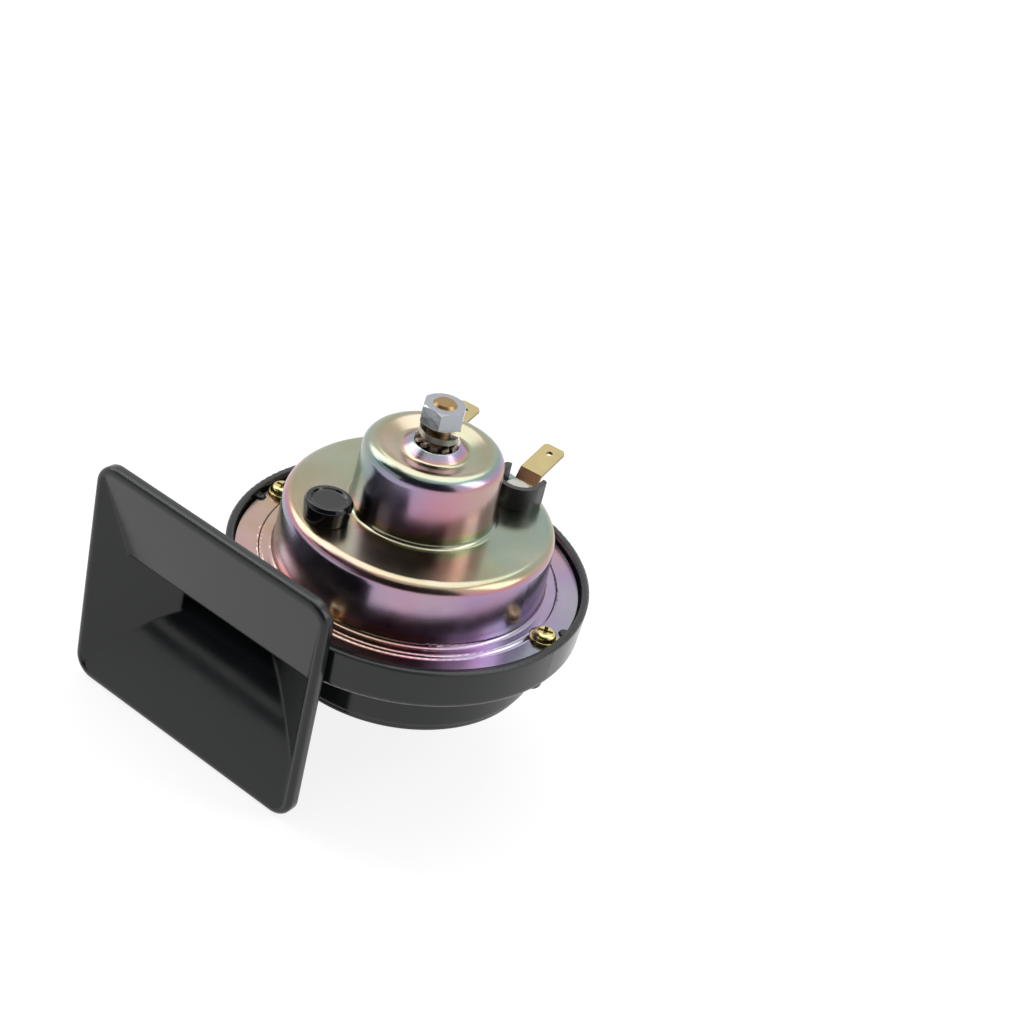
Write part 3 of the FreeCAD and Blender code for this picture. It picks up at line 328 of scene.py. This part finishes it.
def floor_material():
    """Pale floor that is white to the eye and in reflections, and still takes the shadow."""
    shader = Shader("floor")
    diffuse = shader.node("ShaderNodeBsdfDiffuse", {"Color": FLOOR_GREY})
    strength = shader.math("MULTIPLY", shader.seen(), FLOOR_GLOW)
    glow = shader.node("ShaderNodeEmission", {"Color": WHITE, "Strength": strength})
    both = shader.node("ShaderNodeAddShader", {0: diffuse.outputs[0], 1: glow.outputs[0]})
    shader.fill(shader.tree.nodes["Material Output"].inputs["Surface"], both.outputs[0])
    return shader.material


def make_floor():
    level = cad_box[0].z - FLOOR_GAP
    bpy.ops.mesh.primitive_plane_add(size=FLOOR_SIZE, location=(0, 0, level))
    floor = bpy.context.object
    floor.name = "floor"
    floor.data.materials.append(floor_material())


def make_world():
    """White room to the eye and in reflections, and plain soft light on everything else."""
    world = bpy.data.worlds.new("studio")
    world.use_nodes = True
    bpy.context.scene.world = world
    room = Nodes(world.node_tree)
    light = room.tree.nodes["Background"]
    room.fill(light.inputs["Color"], WHITE)
    room.fill(light.inputs["Strength"], ROOM_LIGHT)
    white = room.node("ShaderNodeBackground", {"Color": WHITE, "Strength": 1.0})
    both = room.node("ShaderNodeMixShader", {0: room.seen(), 1: light.outputs[0], 2: white.outputs[0]})
    room.fill(room.tree.nodes["World Output"].inputs["Surface"], both.outputs[0])


def make_dark_reflection(name, start, end, low, high, grey):
    """Curved dark screen around the object that only reflections see: a painted dark reflection, as of a
    dark part of the room.
    """
    verts, faces = [], []
    for i in range(DARK_REFLECTIONS_STEPS + 1):
        azimuth = start + (end - start) * i / DARK_REFLECTIONS_STEPS
        verts += [direction(azimuth, low) * DARK_REFLECTIONS_R, direction(azimuth, high) * DARK_REFLECTIONS_R]
    for i in range(0, 2 * DARK_REFLECTIONS_STEPS, 2):
        faces.append((i, i + 1, i + 3, i + 2))
    mesh = bpy.data.meshes.new(name)
    mesh.from_pydata(verts, [], faces)
    mesh.materials.append(Shader(name, Base_Color=(grey, grey, grey, 1), Roughness=1.0).material)
    screen = add_object(name, mesh)
    for kind in ("camera", "diffuse", "transmission", "volume_scatter", "shadow"):
        setattr(screen, "visible_" + kind, False)


def make_lamp(name, azimuth, elevation, distance, width, height, power):
    """Rectangular soft lamp that faces the can."""
    light = bpy.data.lights.new(name, "AREA")
    light.shape = "RECTANGLE"
    light.size = width
    light.size_y = height
    light.energy = power
    away = direction(azimuth, elevation)
    lamp = add_object(name, light, LAMP_CENTRE + away * distance)
    lamp.rotation_mode = "QUATERNION"
    lamp.rotation_quaternion = away.to_track_quat("Z", "Y")


def make_camera():
    data = bpy.data.cameras.new("camera")
    data.lens = LENS
    data.sensor_width = SENSOR
    data.clip_start = CLIP_START
    camera = add_object("camera", data, CAMERA_PLACE)
    back = direction(AZIMUTH, ELEVATION)
    level = (-back).to_track_quat("-Z", "Y")
    camera.rotation_mode = "QUATERNION"
    camera.rotation_quaternion = Quaternion(back, math.radians(-ROLL)) @ level
    bpy.context.scene.camera = camera


dress_solids()
make_floor()
make_world()
# Painted dark reflections: screens that only glossy surfaces see
for unlit in DARK_REFLECTIONS:
    make_dark_reflection(*unlit)
for lamp in LAMPS:
    make_lamp(*lamp)
make_camera()
bpy.context.scene.view_settings.view_transform = "Standard"
